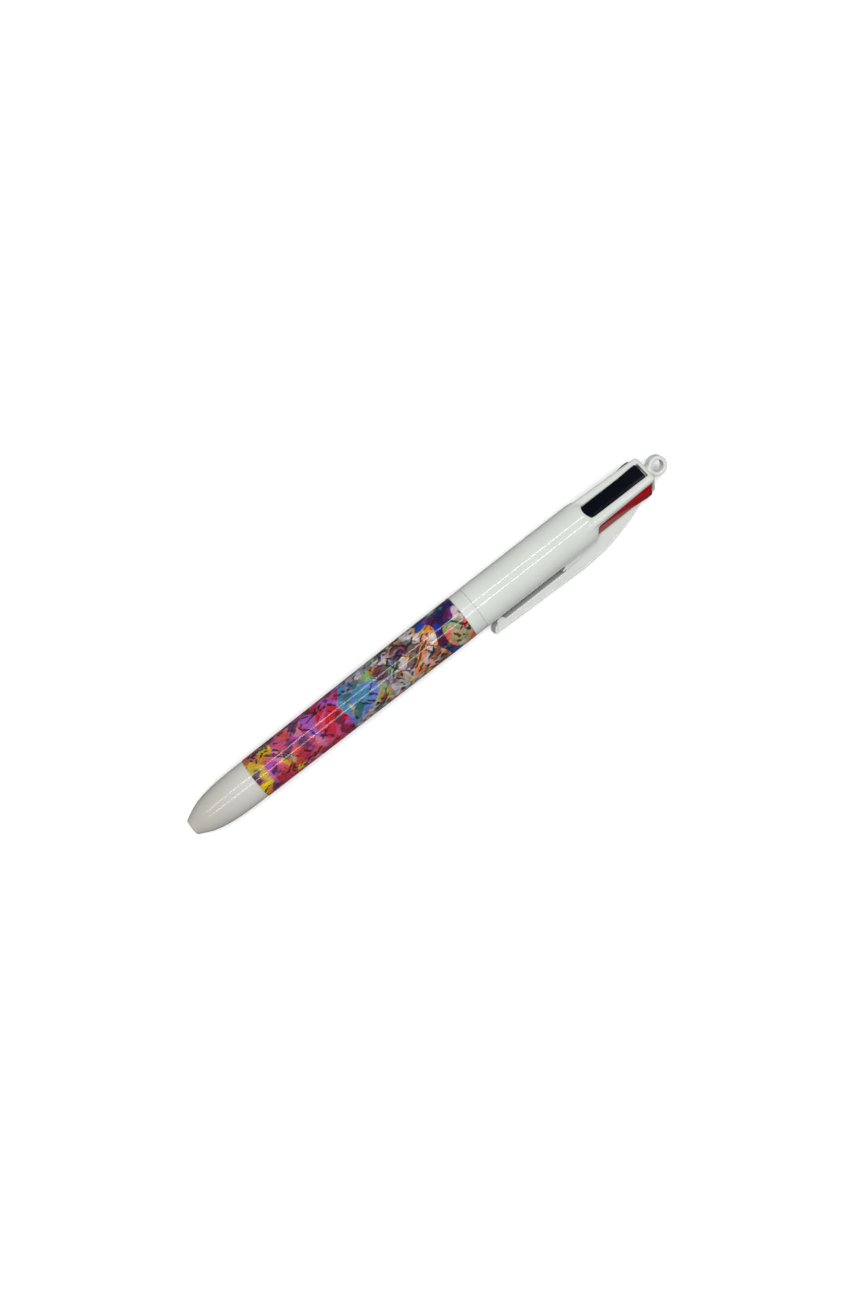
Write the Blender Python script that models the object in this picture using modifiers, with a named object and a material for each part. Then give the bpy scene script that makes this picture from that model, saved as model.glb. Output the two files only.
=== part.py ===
"""Four-colour click pen, lying on its side with the nose towards -X and the eyelet towards +X.

Each size below is in millimetres. A station is a distance along the pen from the nose tip, and a
radius is measured from the pen's axis. The pen frame has its X along the axis, and each colour has
a frame of its own, turned about that axis so that its Y points out through the colour's slot.
"""
import math

import bmesh
import bpy
from mathutils import Matrix, Vector

MM = 0.001

# Overall sizes
TOTAL_LENGTH = 144.0
BARREL_RADIUS = 5.7
BARREL_SIDES = 40

# Colours and where their slots point, in degrees from +Y towards +Z
SLOT_ANGLES = {"black": 70, "red": 160, "blue": 250, "green": 340}
CLIP_ANGLE = 205
EYELET_ANGLE = 115

# Front half
NOSE_LENGTH = 18.8
NOSE_TIP_RADIUS = 2.1
NOSE_TIP_SLOPE = 0.47
NOSE_LIP_END = 2.0
NOSE_RADIUS = 5.2
NOSE_POWER = 2.9
NOSE_FULLNESS = 0.42
NOSE_SPACING = 1.4
NOSE_HOLE_RADIUS = 1.85
# The nose's inside, from its mouth to the main bore, as (station, radius)
NOSE_FUNNEL = [(1.2, NOSE_HOLE_RADIUS), (5.0, 3.0), (16.0, 4.3)]
EDGE_ROUNDING = 0.15
LOWER_END = 84.9
LOWER_END_RADIUS = 5.6
SOCKET_START = 76.5
SOCKET_RADIUS = 4.75
BORE_RADIUS = 4.35
SLEEVE_START = 18.9
SLEEVE_END = 81.4
SLEEVE_START_RADIUS = 5.3
SLEEVE_END_RADIUS = 5.7
SLEEVE_THICKNESS = 0.12
SLEEVE_GAP = 0.04

# Rear half
UPPER_START = 85.1
UPPER_BORE = 4.85
RELIEF_START = 100.0
RELIEF_BORE = 5.0
BORE_END = 116.5
SHOULDER_START = 117.2
SHOULDER_LENGTH = 4.0
SHOULDER_DROP = 2.0
HEAD_START = 117.3
HEAD_END = 138.4
HEAD_START_HALF = 4.32
HEAD_END_HALF = 3.77
HEAD_CORNER = 0.9
CHANNEL_HALF_WIDTH = 2.0
CHANNEL_RADIUS = 4.5
SLOT_START = 119.3
SLOT_END = 137.3
SLOT_HALF_WIDTH = 2.08
SLOT_SAGITTA = 0.9
SLOT_CORNER = 0.4
SLOT_DEPTH = 4.4
SLOT_CUT_BELOW = 0.8
PLUG_HOLE_RADIUS = 2.65
MOUTH_BEVEL = 0.25

# Clip, moulded with the rear half
CLIP_WIDTH = 2.5
CLIP_OUTER = 9.4
CLIP_TIP_OUTER = 8.65
CLIP_INNER = 7.0
CLIP_TIP = 85.4
CLIP_ROOT = 107.9
CLIP_ROOT_LENGTH = 2.1
NUB_STATION = 88.6
NUB_RADIUS = 1.25
NUB_GAP = 0.2
# The nub's round face, as the angles where it starts and ends
NUB_ARC = (225, 330)
CLIP_SINK = 0.35
FIN_START = 112.0
FIN_END = 133.0
FIN_DROP = 4.6
FIN_POWER = 2.06
FIN_DEPTH = 4.0
# Where the fin's foot steps down inside the head, measured on from the bore's end
FIN_FOOT = (1.0, 1.6)
BOSS_WIDTH = 3.6
BOSS_OUTER = 6.5
BOSS_START = 109.0
BOSS_END = 115.0
BOSS_TURN = 3.0
BOSS_SINK = 0.45

# Eyelet and core post
POST_START = 113.5
POST_HALF = 1.2
LEDGE_START = 117.6
LEDGE_LENGTH = 1.0
LEDGE_HALF = 1.45
FLANGE_START = 137.1
FLANGE_RADIUS = 2.4
NECK_RADIUS = 1.65
NECK_END = 139.4
POST_SINK = 0.4
EYELET_RADIUS = 2.55
EYELET_HOLE_RADIUS = 1.45
EYELET_THICKNESS = 2.5
EYELET_CHAMFER = 0.35

# Guide block
BLOCK_END = 97.0
BLOCK_RADIUS = 4.8
BLOCK_FLOOR = 89.0
SPIGOT_START = 77.5
SPIGOT_END = 85.25
SPIGOT_RADIUS = 4.3
SPIGOT_BORE = 3.85
SPIGOT_BEVEL = 0.3
THREAD_PITCH = 1.5
THREAD_TURNS = 3
THREAD_START = 79.4
THREAD_WIRE = 0.28
THREAD_LIFT = 0.02
GUIDE_HOLE_RADIUS = 1.35
GUIDE_HOLE_OFFSET = 2.74

# Sliders
SLIDER_START = 112.2
SLIDER_END = 136.8
SLIDER_INNER = 2.2
SLIDER_OUTER = 4.35
SLIDER_WIDTH = 3.7
SLIDER_BEVEL = 0.25
THUMB_START = 130.6
THUMB_PEAK = 134.9
THUMB_RISE = 0.43
# The thumb's heel falls back to the slider's rear edge, and its ramp bends twice on the way up
HEEL_START = 0.9
HEEL_END = 0.25
HEEL_SAG = 0.05
REAR_BEVEL = 0.6
RAMP_LOW = 0.2
RAMP_HIGH = 0.66
TOOTH_START = 124.9
TOOTH_LENGTH = 1.0
TOOTH_TIP = 1.55
TOOTH_WIDTH = 1.6
PEG_START = 107.0
PEG_RADIUS = 0.6

# Springs and refills, each on its slider's line
REFILL_LINE = 2.85
PIVOT_STATION = 110.0
BALL_END = 5.5
TIP_LINE = 1.95
SPRING_START = 97.3
SPRING_END = 111.9
SPRING_RADIUS = 1.55
SPRING_WIRE = 0.15
SPRING_TURNS = 8
TUBE_START = 18.5
TUBE_END = 111.8
TUBE_RADIUS = 1.1
TUBE_BORE = 0.75
INK_START = 20.9
INK_END = 98.0
INK_RADIUS = 0.7
TIP_MOUTH = 5.75
CONE_LENGTH = 4.0
TIP_MOUTH_RADIUS = 0.48
TIP_BORE = 0.4
TIP_BORE_DEPTH = 0.75
TIP_RADIUS = 0.8
COLLAR_START = 17.3
COLLAR_RADIUS = 1.05
TIP_TAIL_END = 20.5
TIP_TAIL_RADIUS = 0.7
BALL_RADIUS = 0.35

# How far joined pieces run into each other, and how far cutters reach past what they cut
JOIN_OVERLAP = 0.5
BORE_OVERLAP = 0.1
CUT_MARGIN = 1.0

BARREL_REACH = BARREL_RADIUS * math.cos(math.pi / BARREL_SIDES)


def clear_scene():
    for old in list(bpy.data.objects):
        bpy.data.objects.remove(old, do_unlink=True)


def make_collection(name):
    collection = bpy.data.collections.new(name)
    bpy.context.scene.collection.children.link(collection)
    return collection


def make_material(name, colour, roughness, metallic=0.0):
    material = bpy.data.materials.new(name)
    material.use_nodes = True
    shader = material.node_tree.nodes["Principled BSDF"]
    shader.inputs["Base Color"].default_value = (*colour, 1.0)
    shader.inputs["Roughness"].default_value = roughness
    shader.inputs["Metallic"].default_value = metallic
    return material


def make_empty(name, owner, matrix):
    empty = bpy.data.objects.new(name, None)
    pen.objects.link(empty)
    empty.parent = owner
    empty.matrix_basis = matrix
    return empty


def place(name, data, owner, material=None, matrix=None):
    """Put an object in its owner's frame: a part if it has a material, or else a cutter."""
    thing = bpy.data.objects.new(name, data)
    thing.parent = owner
    if matrix is not None:
        thing.matrix_basis = matrix
    if material is None:
        cutters.objects.link(thing)
        thing.hide_render = True
        thing.display_type = "WIRE"
    else:
        pen.objects.link(thing)
        data.materials.append(material)
    return thing


def move(x, y=0.0, z=0.0):
    return Matrix.Translation(Vector((x, y, z)) * MM)


def turned(name, profile, sides, owner, material=None, closed=False, matrix=None):
    """A body turned about its owner's X axis. The profile's (station, radius) points run down the
    outer side, from the eyelet's end to the nose's end. A facet faces -Z, and not an edge."""
    mesh = bpy.data.meshes.new(name)
    count = len(profile)
    edges = [(k, k + 1) for k in range(count - 1)]
    if closed:
        edges.append((count - 1, 0))
    mesh.from_pydata([(r * MM, 0.0, x * MM) for x, r in profile], edges, [])
    spin = Matrix.Rotation(math.pi / sides, 4, "X") @ Matrix.Rotation(math.pi / 2, 4, "Y")
    body = place(name, mesh, owner, material, spin if matrix is None else matrix)
    screw = body.modifiers.new("turn", "SCREW")
    screw.axis = "Z"
    screw.angle = 2 * math.pi
    screw.steps = sides
    screw.render_steps = sides
    screw.use_merge_vertices = True
    screw.merge_threshold = 0.00001
    screw.use_smooth_shade = True
    return body


def bar(name, low, high, owner, material=None):
    """A box between two corners of its owner's frame."""
    mesh = bpy.data.meshes.new(name)
    cube = bmesh.new()
    bmesh.ops.create_cube(cube, size=1.0)
    size = [b - a for a, b in zip(low, high)]
    bmesh.ops.scale(cube, vec=Vector(size) * MM, verts=cube.verts)
    cube.to_mesh(mesh)
    cube.free()
    middle = [(a + b) / 2 for a, b in zip(low, high)]
    return place(name, mesh, owner, material, move(*middle))


def rod(name, start, end, radius, sides, owner, material=None, offset=0.0):
    """A solid cylinder along X, with its axis at the offset along Y."""
    mesh = bpy.data.meshes.new(name)
    cylinder = bmesh.new()
    bmesh.ops.create_cone(
        cylinder, cap_ends=True, segments=sides,
        radius1=radius * MM, radius2=radius * MM, depth=(end - start) * MM,
    )
    cylinder.to_mesh(mesh)
    cylinder.free()
    along = move((start + end) / 2, offset) @ Matrix.Rotation(math.pi / 2, 4, "Y")
    return place(name, mesh, owner, material, along)


def curve_as_mesh(curve, name, owner, material=None, matrix=None):
    """The closed mesh of a curve, with its caps welded to its walls."""
    source = bpy.data.objects.new(name + "_curve", curve)
    cutters.objects.link(source)
    bpy.context.view_layer.update()
    solid = source.evaluated_get(bpy.context.evaluated_depsgraph_get())
    mesh = bpy.data.meshes.new_from_object(solid)
    bpy.data.objects.remove(source, do_unlink=True)
    weld = bmesh.new()
    weld.from_mesh(mesh)
    bmesh.ops.remove_doubles(weld, verts=weld.verts, dist=0.000001)
    bmesh.ops.recalc_face_normals(weld, faces=weld.faces)
    weld.to_mesh(mesh)
    weld.free()
    mesh.name = name
    return place(name, mesh, owner, material, matrix)


def plate(name, outline, thickness, owner, material=None, matrix=None):
    """A flat outline in the owner's XY plane, with its thickness centred on that plane."""
    curve = bpy.data.curves.new(name, "CURVE")
    curve.dimensions = "2D"
    curve.fill_mode = "BOTH"
    curve.extrude = thickness * MM / 2
    spline = curve.splines.new("POLY")
    spline.points.add(len(outline) - 1)
    for point, (x, y) in zip(spline.points, outline):
        point.co = (x * MM, y * MM, 0.0, 1.0)
    spline.use_cyclic_u = True
    return curve_as_mesh(curve, name, owner, material, matrix)


def wire_curve(name, points, radius):
    curve = bpy.data.curves.new(name, "CURVE")
    curve.dimensions = "3D"
    curve.bevel_depth = radius * MM
    curve.bevel_resolution = 1
    curve.use_fill_caps = True
    spline = curve.splines.new("POLY")
    spline.points.add(len(points) - 1)
    for point, (x, y, z) in zip(spline.points, points):
        point.co = (x * MM, y * MM, z * MM, 1.0)
    return curve


def helix(start, end, radius, turns, per_turn, offset=0.0):
    points = []
    for k in range(turns * per_turn + 1):
        turn = 2 * math.pi * k / per_turn
        x = start + (end - start) * k / (turns * per_turn)
        points.append((x, offset + radius * math.cos(turn), radius * math.sin(turn)))
    return points


def arc(x, y, radius, start, end, count):
    """Points on a round stretch of an outline, with its angles in degrees."""
    angles = [math.radians(start + (end - start) * k / (count - 1)) for k in range(count)]
    return [(x + radius * math.cos(a), y + radius * math.sin(a)) for a in angles]


def combine(body, tool, operation):
    boolean = body.modifiers.new(tool.name, "BOOLEAN")
    boolean.operation = operation
    boolean.solver = "EXACT"
    boolean.object = tool


def soften(body, width, segments, angle=40):
    bevel = body.modifiers.new("soft_edges", "BEVEL")
    bevel.width = width * MM
    bevel.segments = segments
    bevel.limit_method = "ANGLE"
    bevel.angle_limit = math.radians(angle)


def nose_radius(station):
    ogive = NOSE_RADIUS * (1 - (1 - station / NOSE_LENGTH) ** NOSE_POWER) ** NOSE_FULLNESS
    lip = NOSE_TIP_RADIUS + NOSE_TIP_SLOPE * station
    return max(lip, ogive) if station < NOSE_LIP_END else ogive


def make_lower_barrel(material):
    seat = SLEEVE_THICKNESS + SLEEVE_GAP
    margin = EDGE_ROUNDING
    outer = [
        (LOWER_END, LOWER_END_RADIUS - margin),
        (LOWER_END - margin, LOWER_END_RADIUS),
        (SLEEVE_END + margin, LOWER_END_RADIUS),
        (SLEEVE_END + margin, SLEEVE_END_RADIUS - seat),
        (SLEEVE_START - margin, SLEEVE_START_RADIUS - seat),
    ]
    steps = 12
    last = SLEEVE_START - 2 * margin
    nose = [last * (k / steps) ** NOSE_SPACING for k in range(steps, 0, -1)]
    outer += [(x, nose_radius(x)) for x in nose]
    rim = [
        (0.0, NOSE_TIP_RADIUS - margin / 2),
        (0.0, NOSE_HOLE_RADIUS + margin / 2),
        (margin, NOSE_HOLE_RADIUS),
    ]
    inner = NOSE_FUNNEL + [
        (SOCKET_START, BORE_RADIUS),
        (SOCKET_START, SOCKET_RADIUS),
        (LOWER_END, SOCKET_RADIUS),
    ]
    profile = outer + rim + inner
    return turned("lower_barrel", profile, BARREL_SIDES, pen_frame, material, closed=True)


def make_sleeve(material):
    profile = [
        (SLEEVE_END, SLEEVE_END_RADIUS),
        (SLEEVE_START, SLEEVE_START_RADIUS),
        (SLEEVE_START, SLEEVE_START_RADIUS - SLEEVE_THICKNESS),
        (SLEEVE_END, SLEEVE_END_RADIUS - SLEEVE_THICKNESS),
    ]
    return turned("printed_sleeve", profile, BARREL_SIDES, pen_frame, material, closed=True)


def clip_edge(station):
    """The clip's outer edge: it rises from the tip to the fin, then falls away along the head."""
    if station > FIN_START:
        along = (station - FIN_START) / (FIN_END - FIN_START)
        return CLIP_OUTER - FIN_DROP * along ** FIN_POWER
    along = (station - CLIP_TIP) / (FIN_START - CLIP_TIP)
    return CLIP_TIP_OUTER + (CLIP_OUTER - CLIP_TIP_OUTER) * along


def make_clip():
    """The clip's arm, nub and fin as one plate, standing out of the rear half."""
    sunk = BARREL_RADIUS - CLIP_SINK
    nub_lift = BARREL_RADIUS + NUB_GAP + NUB_RADIUS
    tip = [(CLIP_TIP, CLIP_TIP_OUTER - EDGE_ROUNDING)]
    nub = arc(NUB_STATION, nub_lift, NUB_RADIUS, *NUB_ARC, 9)
    root = [
        (NUB_STATION + NUB_RADIUS + EDGE_ROUNDING, CLIP_INNER),
        (CLIP_ROOT, CLIP_INNER),
        (CLIP_ROOT + CLIP_ROOT_LENGTH, BARREL_RADIUS),
        (CLIP_ROOT + CLIP_ROOT_LENGTH, sunk),
        (BORE_END + FIN_FOOT[0], sunk),
        (BORE_END + FIN_FOOT[1], FIN_DEPTH),
        (FIN_END, FIN_DEPTH),
    ]
    steps = 24
    length = FIN_END - CLIP_TIP - EDGE_ROUNDING
    edge = [(x, clip_edge(x)) for x in (FIN_END - length * k / steps for k in range(steps + 1))]
    return plate("clip", tip + nub + root + edge, CLIP_WIDTH, clip_frame)


def make_boss():
    """The pad that the clip's root stands on, wider than the clip and rounded down at its rear."""
    steps = 6
    rise = [BOSS_END - BOSS_TURN * k / steps for k in range(steps + 1)]
    sunk = BARREL_RADIUS - BOSS_SINK
    drop = (BOSS_OUTER - sunk) / BOSS_TURN ** 2
    top = [(x, BOSS_OUTER - drop * (x - BOSS_END + BOSS_TURN) ** 2) for x in rise]
    outline = [(BOSS_START, sunk)] + top + [(BOSS_START, BOSS_OUTER)]
    return plate("boss", outline, BOSS_WIDTH, clip_frame)


def make_head():
    """The square head, tapered towards the eyelet, with flats facing the four slots."""
    mesh = bpy.data.meshes.new("head")
    block = bmesh.new()
    flats = Matrix.Rotation(math.pi / 4, 4, "Z")
    bmesh.ops.create_cone(
        block, cap_ends=True, segments=4, radius1=HEAD_START_HALF * math.sqrt(2) * MM,
        radius2=HEAD_END_HALF * math.sqrt(2) * MM, depth=(HEAD_END - HEAD_START) * MM, matrix=flats,
    )
    block.to_mesh(mesh)
    block.free()
    along = move((HEAD_START + HEAD_END) / 2) @ Matrix.Rotation(math.pi / 2, 4, "Y")
    head = place("head", mesh, slot_frames["black"], matrix=along)
    soften(head, HEAD_CORNER, 3)
    return head


def make_slot(colour):
    """The cutter that opens the head over a slider: round at the shoulder, square at the rear."""
    half = SLOT_HALF_WIDTH
    radius = (half ** 2 + SLOT_SAGITTA ** 2) / (2 * SLOT_SAGITTA)
    reach = math.degrees(math.asin(half / radius))
    front = arc(SLOT_START + radius, 0.0, radius, 180 - reach, 180 + reach, 9)
    cut = SLOT_CORNER
    rear = [(SLOT_END - cut, -half), (SLOT_END, cut - half), (SLOT_END, half - cut), (SLOT_END - cut, half)]
    floor = CHANNEL_RADIUS - SLOT_CUT_BELOW
    across = move(0.0, floor + SLOT_DEPTH / 2) @ Matrix.Rotation(math.pi / 2, 4, "X")
    return plate(colour + "_slot", front + rear, SLOT_DEPTH, slot_frames[colour], matrix=across)


def make_upper_barrel(material):
    steps = 8
    turns = [math.pi / 2 * k / steps for k in range(steps, -1, -1)]
    end = SHOULDER_START + SHOULDER_LENGTH
    shoulder = [
        (SHOULDER_START + SHOULDER_LENGTH * math.sin(a), BARREL_RADIUS - SHOULDER_DROP * (1 - math.cos(a)))
        for a in turns
    ]
    mouth = [(UPPER_START + MOUTH_BEVEL, BARREL_RADIUS), (UPPER_START, BARREL_RADIUS - MOUTH_BEVEL)]
    bore = [
        (UPPER_START, UPPER_BORE),
        (RELIEF_START, UPPER_BORE),
        (RELIEF_START, RELIEF_BORE),
        (BORE_END, RELIEF_BORE),
        (BORE_END, 0.0),
    ]
    profile = [(end, 0.0)] + shoulder + mouth + bore
    barrel = turned("upper_barrel", profile, BARREL_SIDES, pen_frame, material)
    combine(barrel, make_head(), "UNION")
    combine(barrel, make_clip(), "UNION")
    combine(barrel, make_boss(), "UNION")
    low = BORE_END - BORE_OVERLAP
    wide, reach = CHANNEL_HALF_WIDTH, CHANNEL_RADIUS
    cross = slot_frames["black"]
    combine(barrel, bar("channel_y", (low, -reach, -wide), (SLOT_END, reach, wide), cross), "DIFFERENCE")
    combine(barrel, bar("channel_z", (low, -wide, -reach), (SLOT_END, wide, reach), cross), "DIFFERENCE")
    for colour in SLOT_ANGLES:
        combine(barrel, make_slot(colour), "DIFFERENCE")
    hole = rod("plug_hole", SLOT_END - JOIN_OVERLAP, HEAD_END + CUT_MARGIN, PLUG_HOLE_RADIUS, 32, pen_frame)
    combine(barrel, hole, "DIFFERENCE")
    return barrel


def make_eyelet():
    """The ring, turned about its own hole, which stands square to the pen's axis."""
    half, cut = EYELET_THICKNESS / 2, EYELET_CHAMFER
    profile = [
        (half, EYELET_RADIUS - cut),
        (half - cut, EYELET_RADIUS),
        (cut - half, EYELET_RADIUS),
        (-half, EYELET_RADIUS - cut),
        (-half, EYELET_HOLE_RADIUS + cut),
        (cut - half, EYELET_HOLE_RADIUS),
        (half - cut, EYELET_HOLE_RADIUS),
        (half, EYELET_HOLE_RADIUS + cut),
    ]
    upright = Matrix.Rotation(math.pi / 2, 4, "Y")
    return turned("eyelet", profile, 24, eyelet_frame, closed=True, matrix=upright)


def make_ring_plug(material):
    post = bar(
        "ring_plug", (POST_START, -POST_HALF, -POST_HALF), (FLANGE_START + POST_SINK, POST_HALF, POST_HALF),
        slot_frames["black"], material,
    )
    ledge_end = LEDGE_START + LEDGE_LENGTH
    low = (LEDGE_START, -LEDGE_HALF, -LEDGE_HALF)
    combine(post, bar("ledge", low, (ledge_end, LEDGE_HALF, LEDGE_HALF), slot_frames["black"]), "UNION")
    profile = [
        (NECK_END, 0.0), (NECK_END, NECK_RADIUS), (HEAD_END, NECK_RADIUS),
        (HEAD_END, FLANGE_RADIUS), (FLANGE_START, FLANGE_RADIUS), (FLANGE_START, 0.0),
    ]
    combine(post, turned("flange", profile, 24, pen_frame), "UNION")
    combine(post, make_eyelet(), "UNION")
    return post


def make_guide_block(material):
    profile = [
        (BLOCK_END, 0.0),
        (BLOCK_END, BLOCK_RADIUS),
        (SPIGOT_END, BLOCK_RADIUS),
        (SPIGOT_END, SPIGOT_RADIUS),
        (SPIGOT_START + SPIGOT_BEVEL, SPIGOT_RADIUS),
        (SPIGOT_START, SPIGOT_RADIUS - SPIGOT_BEVEL),
        (SPIGOT_START, SPIGOT_BORE),
        (BLOCK_FLOOR, SPIGOT_BORE),
        (BLOCK_FLOOR, 0.0),
    ]
    block = turned("guide_block", profile, BARREL_SIDES, pen_frame, material)
    end = THREAD_START + THREAD_PITCH * THREAD_TURNS
    path = helix(THREAD_START, end, SPIGOT_RADIUS + THREAD_LIFT, THREAD_TURNS, 20)
    thread = curve_as_mesh(wire_curve("thread", path, THREAD_WIRE), "thread", pen_frame)
    combine(block, thread, "UNION")
    for colour, frame in slot_frames.items():
        hole = rod(
            colour + "_guide_hole", BLOCK_FLOOR - CUT_MARGIN, BLOCK_END + CUT_MARGIN,
            GUIDE_HOLE_RADIUS, 20, frame, offset=GUIDE_HOLE_OFFSET,
        )
        combine(block, hole, "DIFFERENCE")
    return block


def make_slider(colour, material):
    thumb = SLIDER_OUTER + THUMB_RISE
    swell = (THUMB_PEAK - THUMB_START) / 3
    outline = [
        (SLIDER_START, SLIDER_INNER),
        (SLIDER_END, SLIDER_INNER),
        (SLIDER_END, SLIDER_OUTER - REAR_BEVEL),
        (SLIDER_END - HEEL_END, SLIDER_OUTER),
        (SLIDER_END - HEEL_START, thumb - HEEL_SAG),
        (THUMB_PEAK, thumb),
        (THUMB_PEAK - swell, SLIDER_OUTER + THUMB_RISE * RAMP_HIGH),
        (THUMB_START + swell, SLIDER_OUTER + THUMB_RISE * RAMP_LOW),
        (THUMB_START, SLIDER_OUTER),
        (SLIDER_START, SLIDER_OUTER),
    ]
    frame = slot_frames[colour]
    slider = plate(colour + "_slider", outline, SLIDER_WIDTH, frame, material)
    soften(slider, SLIDER_BEVEL, 2, angle=60)
    half = TOOTH_WIDTH / 2
    low = (TOOTH_START, TOOTH_TIP, -half)
    high = (TOOTH_START + TOOTH_LENGTH, SLIDER_INNER + JOIN_OVERLAP, half)
    combine(slider, bar(colour + "_tooth", low, high, frame), "UNION")
    peg_end = SLIDER_START + JOIN_OVERLAP
    peg = rod(colour + "_peg", PEG_START, peg_end, PEG_RADIUS, 12, frame, offset=REFILL_LINE)
    combine(slider, peg, "UNION")
    return slider


def make_spring(colour, material):
    path = helix(SPRING_START, SPRING_END, SPRING_RADIUS, SPRING_TURNS, 10, REFILL_LINE)
    return place(colour + "_spring", wire_curve("spring", path, SPRING_WIRE), slot_frames[colour], material)


def from_pivot(profile):
    return [(x - PIVOT_STATION, r) for x, r in profile]


def make_refill(colour, tube_material, ink_material, tip_material, ball_material):
    """The tube, ink, metal tip and ball, on a line that runs inwards from the pivot to the nose."""
    frame = refill_frames[colour]
    tube = [
        (TUBE_END, TUBE_RADIUS), (TUBE_START, TUBE_RADIUS),
        (TUBE_START, TUBE_BORE), (TUBE_END, TUBE_BORE),
    ]
    turned(colour + "_refill_tube", from_pivot(tube), 14, frame, tube_material, closed=True)
    ink = [(INK_END, 0.0), (INK_END, INK_RADIUS), (INK_START, INK_RADIUS), (INK_START, 0.0)]
    turned(colour + "_ink", from_pivot(ink), 14, frame, ink_material)
    tip = [
        (TIP_TAIL_END, 0.0),
        (TIP_TAIL_END, TIP_TAIL_RADIUS),
        (TUBE_START - 0.1, TIP_TAIL_RADIUS),
        (TUBE_START - 0.1, COLLAR_RADIUS),
        (COLLAR_START, COLLAR_RADIUS),
        (COLLAR_START, TIP_RADIUS),
        (TIP_MOUTH + CONE_LENGTH, TIP_RADIUS),
        (TIP_MOUTH, TIP_MOUTH_RADIUS),
        (TIP_MOUTH, TIP_BORE),
        (TIP_MOUTH + TIP_BORE_DEPTH, TIP_BORE),
        (TIP_MOUTH + TIP_BORE_DEPTH, 0.0),
    ]
    turned(colour + "_refill_tip", from_pivot(tip), 14, frame, tip_material)
    mesh = bpy.data.meshes.new("tip_ball")
    ball = bmesh.new()
    bmesh.ops.create_uvsphere(ball, u_segments=10, v_segments=8, radius=BALL_RADIUS * MM)
    ball.to_mesh(mesh)
    ball.free()
    seat = move(BALL_END + BALL_RADIUS - PIVOT_STATION)
    place(colour + "_tip_ball", mesh, frame, ball_material, seat)


def clip_reach():
    """How far the clip's outer edge reaches sideways from the pen's axis."""
    lean = math.radians(CLIP_ANGLE - 180)
    return CLIP_OUTER * math.cos(lean) + CLIP_WIDTH / 2 * math.sin(lean)


def clip_drop():
    """How far the clip's lower corner hangs below the pen's axis."""
    lean = math.radians(CLIP_ANGLE - 180)
    return CLIP_OUTER * math.sin(lean) + CLIP_WIDTH / 2 * math.cos(lean)


clear_scene()
pen = make_collection("multicolor_click_pen")
cutters = make_collection("cutters")

# The pen's box is centred on the origin, and it lies on the ground plane.
side = (clip_reach() - BARREL_REACH) / 2
axis_height = max(BARREL_REACH, clip_drop())
pen_frame = make_empty("pen_frame", None, move(-TOTAL_LENGTH / 2, side, axis_height))
slot_frames = {
    colour: make_empty(colour + "_frame", pen_frame, Matrix.Rotation(math.radians(angle), 4, "X"))
    for colour, angle in SLOT_ANGLES.items()
}
clip_frame = make_empty("clip_frame", pen_frame, Matrix.Rotation(math.radians(CLIP_ANGLE), 4, "X"))
eyelet_turn = Matrix.Rotation(math.radians(EYELET_ANGLE), 4, "X") @ Matrix.Rotation(math.pi / 2, 4, "Z")
eyelet_frame = make_empty("eyelet_frame", pen_frame, move(TOTAL_LENGTH - EYELET_RADIUS) @ eyelet_turn)
incline = math.atan2(REFILL_LINE - TIP_LINE, PIVOT_STATION - BALL_END)
refill_frames = {
    colour: make_empty(
        colour + "_refill_pivot", frame, move(PIVOT_STATION, REFILL_LINE) @ Matrix.Rotation(incline, 4, "Z")
    )
    for colour, frame in slot_frames.items()
}

COLOURS = {"black": (0.012, 0.014, 0.018), "red": (0.33, 0.004, 0.008),
           "blue": (0.01, 0.03, 0.25), "green": (0.0, 0.07, 0.03)}
white = make_material("white_plastic", (0.76, 0.78, 0.76), 0.22)
nose_white = make_material("nose_white_plastic", (0.62, 0.61, 0.58), 0.3)
print_film = make_material("print_film", (0.35, 0.25, 0.35), 0.25)
block_plastic = make_material("block_plastic", (0.55, 0.56, 0.55), 0.4)
spring_steel = make_material("spring_steel", (0.55, 0.55, 0.56), 0.25, 1.0)
tip_metal = make_material("tip_metal", (0.62, 0.5, 0.28), 0.25, 1.0)
ball_metal = make_material("ball_metal", (0.4, 0.4, 0.42), 0.15, 1.0)
tube_plastic = make_material("tube_plastic", (0.7, 0.72, 0.72), 0.25)

make_lower_barrel(nose_white)
make_sleeve(print_film)
make_upper_barrel(white)
make_ring_plug(white)
make_guide_block(block_plastic)
for colour, shade in COLOURS.items():
    make_slider(colour, make_material(colour + "_plastic", shade, 0.25))
    make_spring(colour, spring_steel)
    ink = make_material(colour + "_ink", shade, 0.3)
    make_refill(colour, tube_plastic, ink, tip_metal, ball_metal)
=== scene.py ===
"""Looks for the four-colour click pen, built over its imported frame.

Sizes are in millimetres unless a name says otherwise. In the pen's own space X is the station, the
distance from the nose tip, and Y and Z are measured from the pen's axis. Directions round the axis
are in degrees from +Y towards +Z.
"""
import math

import bpy
import numpy as np
from mathutils import Matrix, Vector


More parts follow.
